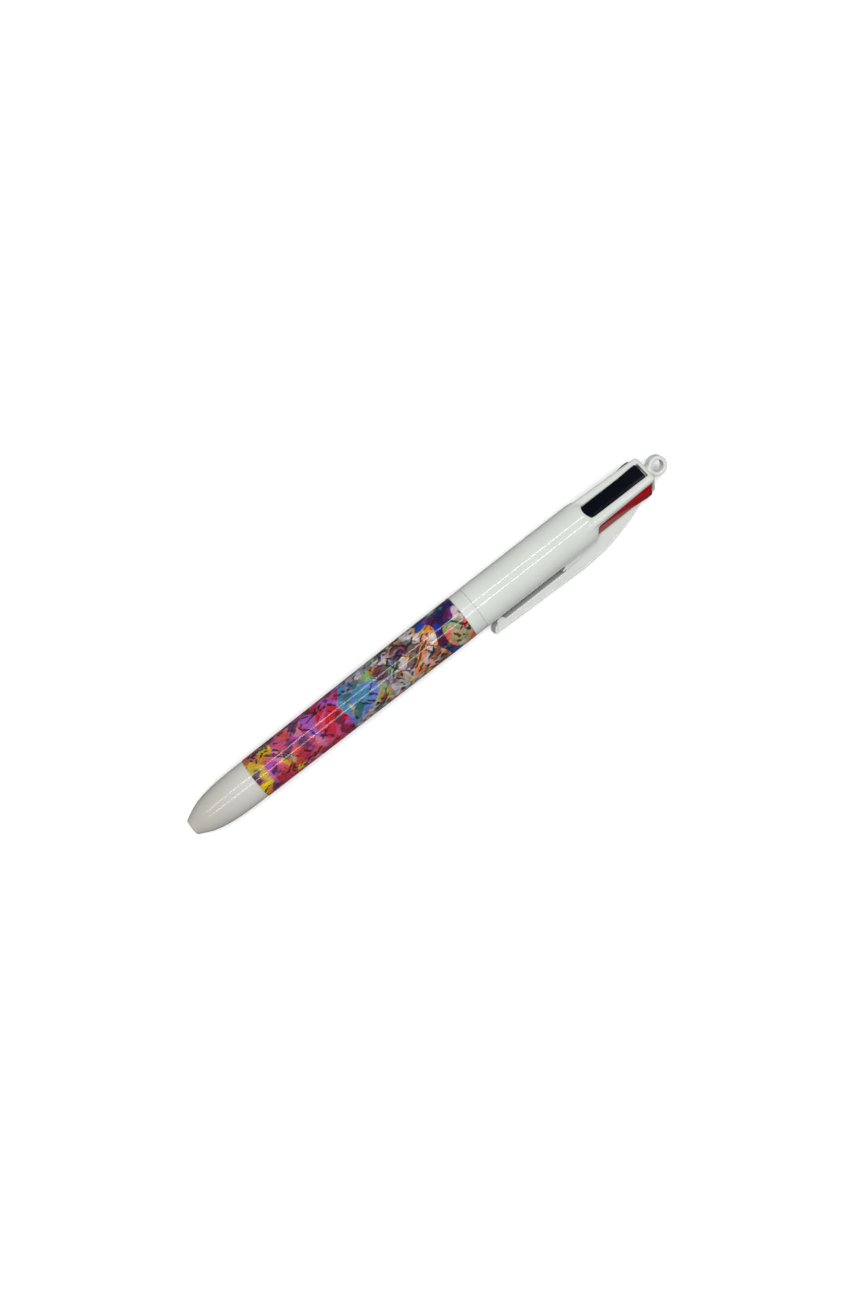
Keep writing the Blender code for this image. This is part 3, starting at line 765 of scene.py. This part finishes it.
def make_sleeve():
    length = SLEEVE_END - SLEEVE_START
    middle = [SLEEVE_END - length * k / SLEEVE_STEPS for k in range(1, SLEEVE_STEPS)]
    corners = [(SLEEVE_END, BARREL_RADIUS, 0.05)]
    corners += [(x, sleeve_radius(x), 0) for x in middle]
    corners += [
        (SLEEVE_START, SLEEVE_START_RADIUS, 0.05),
        (SLEEVE_START, SLEEVE_START_RADIUS - SLEEVE_THICKNESS, 0.02),
        (SLEEVE_END, BARREL_RADIUS - SLEEVE_THICKNESS, 0.02),
    ]
    return turned(corners, BARREL_SIDES)


# ---------------------------------------------------------------- rear barrel with clip and head

def shoulder_field(x, r):
    """The barrel, rounded off like a quarter ellipse where the head begins."""
    along = np.maximum(x - SHOULDER_START, 0) / SHOULDER_LENGTH
    across = np.maximum(r - (BARREL_RADIUS - SHOULDER_DROP), 0) / SHOULDER_DROP
    reach = np.maximum(np.hypot(along, across), 0.05)
    slope = np.hypot(along / SHOULDER_LENGTH, across / SHOULDER_DROP) / reach
    return np.where(reach > 0.06, (reach - 1) / np.maximum(slope, 0.2), -2.0)


def fin_edge(x):
    """The clip's outer edge, and how steeply it runs."""
    rise = (CLIP_OUTER - CLIP_TIP_OUTER) / (FIN_START - CLIP_TIP)
    along = np.clip((x - FIN_START) / (FIN_END - FIN_START), 0, 1.2)
    edge = CLIP_OUTER + rise * np.minimum(x - FIN_START, 0) - FIN_DROP * along ** FIN_POWER
    steep = FIN_DROP * FIN_POWER / (FIN_END - FIN_START) * along ** (FIN_POWER - 1)
    return edge, np.where(x < FIN_START, rise, steep)


def boss_field(x, out, across):
    """The pad at the clip's root, which curves down into the barrel at its rear."""
    turn = np.maximum(x - BOSS_TURN_START, 0) / (BOSS_END - BOSS_TURN_START)
    top = out - BOSS_OUTER + BOSS_TURN_DROP * turn ** 2
    front = BOSS_START - x + BOSS_FRONT_LEAN * (BOSS_OUTER - out - BOSS_FRONT_DEPTH)
    side_view = np.maximum(np.maximum(top, front), BOSS_INNER - out)
    top_view = np.maximum(np.abs(across) - BOSS_HALF_WIDTH, x - BOSS_END - BOSS_TAIL)
    return both(side_view, top_view, 0.25)


def clip_field(x, y, z):
    out, across = turned_coordinates(y, z, CLIP_ANGLE)
    edge, steep = fin_edge(x)
    top = (out - edge) / np.sqrt(1 + steep ** 2)
    tip = CLIP_TIP - x + CLIP_TIP_LEAN * np.maximum(CLIP_TIP_OUTER - out, 0)
    tip = tip / math.hypot(1, CLIP_TIP_LEAN)
    arm = both(np.maximum(tip, x - FIN_START), CLIP_INNER - out, 0.35)
    nub = np.hypot(x - NUB_STATION, out - (BARREL_RADIUS + NUB_GAP + NUB_RADIUS)) - NUB_RADIUS
    arm = either(arm, nub, 0.3)
    lean = (CLIP_ROOT_LOW - CLIP_ROOT) / (CLIP_INNER - BARREL_RADIUS)
    gap_end = (CLIP_ROOT_LOW - lean * (out - BARREL_RADIUS) - x) / math.hypot(1, lean)
    web = np.maximum(gap_end, CLIP_WEB_INNER - out)
    side_view = both(either(arm, web, 0.3), top, 0.25)
    plate = both(np.abs(across) - CLIP_HALF_WIDTH, side_view, 0.2)
    rim = np.maximum(side_view, -BEAD_DEPTH - np.maximum(top, tip))
    bead = both(np.abs(across) - BEAD_HALF_WIDTH, rim, 0.28)
    return either(either(plate, bead, 0.05), boss_field(x, out, across), 0.03)


def slot_void(x, along, across):
    """The window over one slider, along its own direction and square to it."""
    radius = (SLOT_HALF_WIDTH ** 2 + SLOT_SAGITTA ** 2) / (2 * SLOT_SAGITTA)
    bend = np.hypot(np.minimum(x - (SLOT_START + radius), 0), across) - radius
    front = np.where(x < SLOT_START + radius, bend, -radius)
    window = np.maximum(front, both(np.abs(across) - SLOT_HALF_WIDTH, x - SLOT_END, 0.4))
    return np.maximum(window, SLOT_FLOOR - along)


def upper_field(x, y, z):
    r = np.hypot(y, z)
    u, v = turned_coordinates(y, z, SLOT_ANGLES["black"])
    barrel = both(shoulder_field(x, r), UPPER_START - SEAM_OVERLAP - x, 0.05)
    taper = (HEAD_END_HALF - HEAD_START_HALF) / (HEAD_END - HEAD_START)
    half = HEAD_START_HALF + taper * (x - HEAD_START)
    ends = np.maximum(x - HEAD_END, HEAD_START - 1.0 - x)
    block = both(rounded_square(u, v, half, HEAD_CORNER), ends, 1.0)
    # The head's corners are cut off just inside the barrel's radius.
    block = np.maximum(block, r - BARREL_RADIUS + 0.1)
    solid = either(barrel, block, 0.35)
    solid = either(solid, clip_field(x, y, z), 0.22)
    bore = np.maximum(r - np.where(x < RELIEF_START, UPPER_BORE, RELIEF_BORE), x - BORE_END)
    lengthways = slab(x, BORE_END - 0.1, SLOT_END)
    wide_u = np.maximum(np.abs(v) - CHANNEL_HALF_WIDTH, np.abs(u) - CHANNEL_RADIUS)
    wide_v = np.maximum(np.abs(u) - CHANNEL_HALF_WIDTH, np.abs(v) - CHANNEL_RADIUS)
    channel = np.maximum(np.minimum(wide_u, wide_v), lengthways)
    hole = np.maximum(r - PLUG_HOLE_RADIUS, SLOT_END - 0.5 - x)
    void = np.minimum(np.minimum(bore, channel), hole)
    for degrees in SLOT_ANGLES.values():
        void = np.minimum(void, slot_void(x, *turned_coordinates(y, z, degrees)))
    return both(solid, -void, np.where(x < SHOULDER_START, 0.12, 0.3))


def make_upper_barrel():
    x = spaced((84.6, 87.0, 0.14), (87.0, 90.4, 0.2), (90.4, 106.0, 1.2), (106.0, 110.4, 0.16),
               (110.4, 116.2, 0.3), (116.2, 122.6, 0.15), (122.6, 130.6, 0.5), (130.6, 134.6, 0.2),
               (134.6, 138.9, 0.15))
    r = spaced((2.35, 5.8, 0.15), (5.8, 10.3, 0.15))
    turn = spaced((-172, -128, 1.0), (-128, 188, 2.0))[:-1]
    lines = (x, r, np.radians(turn))
    return skin(upper_field, lines, lambda a, b, c: (a, b * np.cos(c), b * np.sin(c)), wrap=True)


def plug_field(x, y, z):
    u, v = turned_coordinates(y, z, SLOT_ANGLES["black"])
    r = np.hypot(y, z)
    post = both(rounded_square(u, v, POST_HALF, 0.15), slab(x, POST_START, FLANGE_START + 0.4), 0.15)
    ledge = both(rounded_square(u, v, LEDGE_HALF, 0.15), slab(x, LEDGE_START, LEDGE_END), 0.15)
    flange = both(r - FLANGE_RADIUS, slab(x, FLANGE_START, HEAD_END), 0.15)
    neck = np.maximum(r - NECK_RADIUS, slab(x, HEAD_END - 0.3, NECK_END))
    hole_axis, side = turned_coordinates(y, z, EYELET_ANGLE)
    reach = np.hypot(x - (TOTAL_LENGTH - EYELET_RADIUS), side)
    middle = (EYELET_RADIUS + EYELET_HOLE_RADIUS) / 2
    band = np.abs(reach - middle) - (EYELET_RADIUS - EYELET_HOLE_RADIUS) / 2
    ring = both(band, np.abs(hole_axis) - EYELET_HALF, 0.4)
    body = either(np.minimum(np.minimum(post, ledge), flange), neck, 0.2)
    return np.maximum(either(body, ring, 0.35), EYELET_HOLE_RADIUS - reach)


def make_ring_plug():
    x = spaced((113.2, 114.0, 0.13), (114.0, 117.2, 0.8), (117.2, 119.0, 0.13), (119.0, 136.2, 1.2),
               (136.2, 144.2, 0.1))
    across = spaced((-2.8, 2.8, 0.1))
    return skin(plug_field, (x, across, across))


# ---------------------------------------------------------------- sliders

def thumb_line(x):
    rise = np.clip((x - THUMB_START) / (THUMB_PEAK - THUMB_START), 0, 1)
    swell = 1 + THUMB_FULLNESS - THUMB_FULLNESS * rise
    return SLIDER_OUTER + THUMB_RISE * rise ** THUMB_POWER * swell


def slider_field(x, out, across):
    top = out - thumb_line(x)
    rear = x - SLIDER_END + SLIDER_REAR_LEAN * np.maximum(out - (SLIDER_OUTER - SLIDER_REAR_DEPTH), 0)
    bar = both(np.maximum(SLIDER_INNER - out, SLIDER_START - x), rear, 0.2)
    bar = both(bar, top, 0.45)
    bar = both(bar, np.abs(across) - SLIDER_HALF_WIDTH, 0.28)
    tooth = both(slab(x, TOOTH_START, TOOTH_END), np.abs(across) - TOOTH_HALF_WIDTH, 0.12)
    tooth = both(tooth, slab(out, TOOTH_TIP, SLIDER_INNER + 0.5), 0.12)
    peg = np.hypot(out - REFILL_LINE, across) - PEG_RADIUS
    peg = both(peg, slab(x, PEG_START, SLIDER_START + 0.5), 0.12)
    return either(np.minimum(bar, tooth), peg, 0.15)


def make_slider():
    x = spaced((106.7, 107.4, 0.12), (107.4, 111.8, 0.6), (111.8, 113.0, 0.12), (113.0, 124.6, 0.8),
               (124.6, 126.2, 0.12), (126.2, 129.6, 0.5), (129.6, 137.1, 0.12))
    out = spaced((1.3, 5.1, 0.11))
    across = spaced((-2.2, 2.2, 0.11))
    return skin(slider_field, (x, out, across))


def from_pivot(corners):
    """Corners given by station, moved so that the refill's pivot is the origin."""
    return [(x - PIVOT_STATION, r, rounding) for x, r, rounding in corners]


def refill_shapes():
    tube = [(TUBE_END, TUBE_RADIUS, 0.06), (TUBE_START, TUBE_RADIUS, 0.06),
            (TUBE_START, TUBE_BORE, 0.04), (TUBE_END, TUBE_BORE, 0.04)]
    ink = [(INK_END, 0.0, 0), (INK_END, INK_RADIUS, 0.25),
           (INK_START, INK_RADIUS, 0.05), (INK_START, 0.0, 0)]
    cone_end = TIP_MOUTH + CONE_LENGTH
    groove = cone_end + GROOVE_OFFSET
    tip = [
        (TIP_TAIL_END, 0.0, 0), (TIP_TAIL_END, TIP_TAIL_RADIUS, 0.1),
        (TUBE_START - 0.1, TIP_TAIL_RADIUS, 0.03), (TUBE_START - 0.1, COLLAR_RADIUS, 0.1),
        (COLLAR_START, COLLAR_RADIUS, 0.15), (COLLAR_START, TIP_RADIUS, 0.04),
        (groove + GROOVE_WIDTH, TIP_RADIUS, 0.05),
        (groove + GROOVE_WIDTH / 2, TIP_RADIUS - GROOVE_DEPTH, 0.03), (groove, TIP_RADIUS, 0.05),
        (cone_end, TIP_RADIUS, 0.6), (TIP_MOUTH + 0.5, TIP_MOUTH_RADIUS + 0.05, 0.3),
        (TIP_MOUTH, TIP_MOUTH_RADIUS, 0.03), (TIP_MOUTH, TIP_BORE, 0.02),
        (TIP_MOUTH + TIP_BORE_DEPTH, TIP_BORE, 0.02), (TIP_MOUTH + TIP_BORE_DEPTH, 0.0, 0),
    ]
    turns = [math.pi * k / BALL_STEPS for k in range(BALL_STEPS + 1)]
    centre = BALL_END + BALL_RADIUS
    ball = [(centre + BALL_RADIUS * math.cos(a), abs(BALL_RADIUS * math.sin(a)), 0) for a in turns]
    return {
        "refill_tube": turned(from_pivot(tube), 40),
        "ink": turned(from_pivot(ink), 32, closed=False),
        "refill_tip": turned(from_pivot(tip), 48, closed=False),
        "tip_ball": turned(from_pivot(ball), 32, closed=False),
    }


# ---------------------------------------------------------------- assembly

piece("lower_barrel_skin", make_lower_barrel(), pen_space, "lower_body", "lower_barrel",
      nose_material())
piece("upper_barrel_skin", make_upper_barrel(), pen_space, "upper_body", "upper_barrel",
      white_plastic)
piece("ring_plug_skin", make_ring_plug(), pen_space, "upper_body", "ring_plug",
      white_plastic)

slider_shape = make_slider()
spring_path = helix(SPRING_START, SPRING_END, SPRING_RADIUS, SPRING_TURNS, SPRING_STEPS, REFILL_LINE)
spring_shape = wire(spring_path, SPRING_WIRE, SPRING_SIDES)
refills = refill_shapes()
incline = math.atan2(REFILL_LINE - TIP_LINE, PIVOT_STATION - BALL_END)
to_pivot = Matrix.Translation((PIVOT_STATION, REFILL_LINE, 0)) @ Matrix.Rotation(incline, 4, "Z")
for colour, degrees in SLOT_ANGLES.items():
    slot_space = pen_space @ Matrix.Rotation(math.radians(degrees), 4, "X")
    refill_space = slot_space @ to_pivot
    finish = SLIDER_PLASTICS[colour]
    piece(colour + "_slider_skin", slider_shape, slot_space, colour + "_slider_body",
          colour + "_slider", finish)
    spring = piece(colour + "_spring_coil", spring_shape, slot_space, "upper_body",
                   colour + "_spring", spring_steel)
    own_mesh(spring)
    looks = {
        "refill_tube": (tube_plastic, "tube_plastic"),
        "ink": (ink_material(colour), colour + "_plastic"),
        "refill_tip": (tip_metal, "tip_brass"),
        "tip_ball": (ball_metal, "ball_metal"),
    }
    for part, shape in refills.items():
        material, slot = looks[part]
        node = colour + "_" + part
        piece(node + "_turned", shape, refill_space, colour + "_refill_body", node, material)

piece("printed_sleeve_skin", make_sleeve(), pen_space, "lower_body", "printed_sleeve",
      print_material())
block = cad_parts["guide_block"]
block.data.materials.clear()
block.data.materials.append(block_plastic)


# ---------------------------------------------------------------- floor, light and camera

def floor_material():
    made = Surface("studio_floor")
    place = made.millimetres()
    made.bump(made.noise(place, 0.02, 2.0), 0.2, 0.05)
    grey = (FLOOR_GREY, FLOOR_GREY, FLOOR_GREY, 1.0)
    return made.finish(Base_Color=grey, Roughness=0.9, Specular_IOR_Level=0.1)


def make_floor(height):
    mesh = bpy.data.meshes.new("studio_floor")
    corners = [(-1, -1), (1, -1), (1, 1), (-1, 1)]
    mesh.from_pydata([(x * FLOOR_HALF, y * FLOOR_HALF, height) for x, y in corners], [], [(0, 1, 2, 3)])
    mesh.materials.append(floor_material())
    floor = bpy.data.objects.new("studio_floor", mesh)
    bpy.context.scene.collection.objects.link(floor)
    floor.visible_glossy = False
    floor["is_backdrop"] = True


def make_light(name, aim, lean, turn, distance, size, power, mirrored=True):
    """An area light at a distance, leaning from the vertical towards a direction round the pen.

    One that isn't mirrored lights the pen without showing in its gloss."""
    light = bpy.data.lights.new(name, "AREA")
    light.shape = "RECTANGLE"
    light.size, light.size_y = size
    light.energy = power
    lamp = bpy.data.objects.new(name, light)
    lean, turn = math.radians(lean), math.radians(turn)
    level = math.sin(lean)
    away = Vector((level * math.cos(turn), level * math.sin(turn), math.cos(lean)))
    lamp.location = aim + away * distance
    spin = Vector((1, 0, 0)) - away * away.x
    side = spin.normalized()
    lamp.rotation_mode = "QUATERNION"
    lamp.rotation_quaternion = Matrix((side, away.cross(side), away)).transposed().to_quaternion()
    lamp.visible_glossy = mirrored
    bpy.context.scene.collection.objects.link(lamp)


def make_camera(foot, look, height, lens, roll):
    """A camera straight above a point, aimed at another one, with its top turned by roll from +Y."""
    camera = bpy.data.cameras.new("camera")
    camera.lens = lens
    camera.sensor_width = 36.0
    camera.clip_start, camera.clip_end = 0.01, 50.0
    holder = bpy.data.objects.new("camera", camera)
    eye = foot + Vector((0, 0, height))
    back = (eye - look).normalized()
    up = Vector((math.sin(math.radians(roll)), math.cos(math.radians(roll)), 0))
    right = up.cross(back).normalized()
    holder.location = eye
    holder.rotation_mode = "QUATERNION"
    holder.rotation_quaternion = Matrix((right, back.cross(right), back)).transposed().to_quaternion()
    bpy.context.scene.collection.objects.link(holder)
    bpy.context.scene.camera = holder


make_floor(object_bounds()[0][2])
axis_point = pen_space @ Vector((LIGHT_STATION, 0, 0))
make_light("overhead_softbox", axis_point, 0, 0, SOFTBOX_DISTANCE, SOFTBOX_SIZE, SOFTBOX_POWER,
           mirrored=False)
make_light("far_strip", axis_point, FAR_STRIP_LEAN, 90, STRIP_DISTANCE, STRIP_SIZE, STRIP_POWER)
make_light("near_strip", axis_point, NEAR_STRIP_LEAN, -90, STRIP_DISTANCE, STRIP_SIZE, STRIP_POWER)
world = bpy.data.worlds.new("studio")
world.use_nodes = True
world.node_tree.nodes["Background"].inputs["Color"].default_value = (1.0, 1.0, 1.0, 1.0)
world.node_tree.nodes["Background"].inputs["Strength"].default_value = WORLD_STRENGTH
scene = bpy.context.scene
scene.world = world
scene.view_settings.view_transform = "Standard"
scene.view_settings.look = "None"
camera_foot = pen_space @ Vector((CAMERA_STATION, CAMERA_SIDE, 0))
camera_aim = pen_space @ Vector((CAMERA_AIM_STATION, CAMERA_SIDE, 0))
make_camera(camera_foot, camera_aim, CAMERA_HEIGHT, CAMERA_LENS, CAMERA_ROLL)
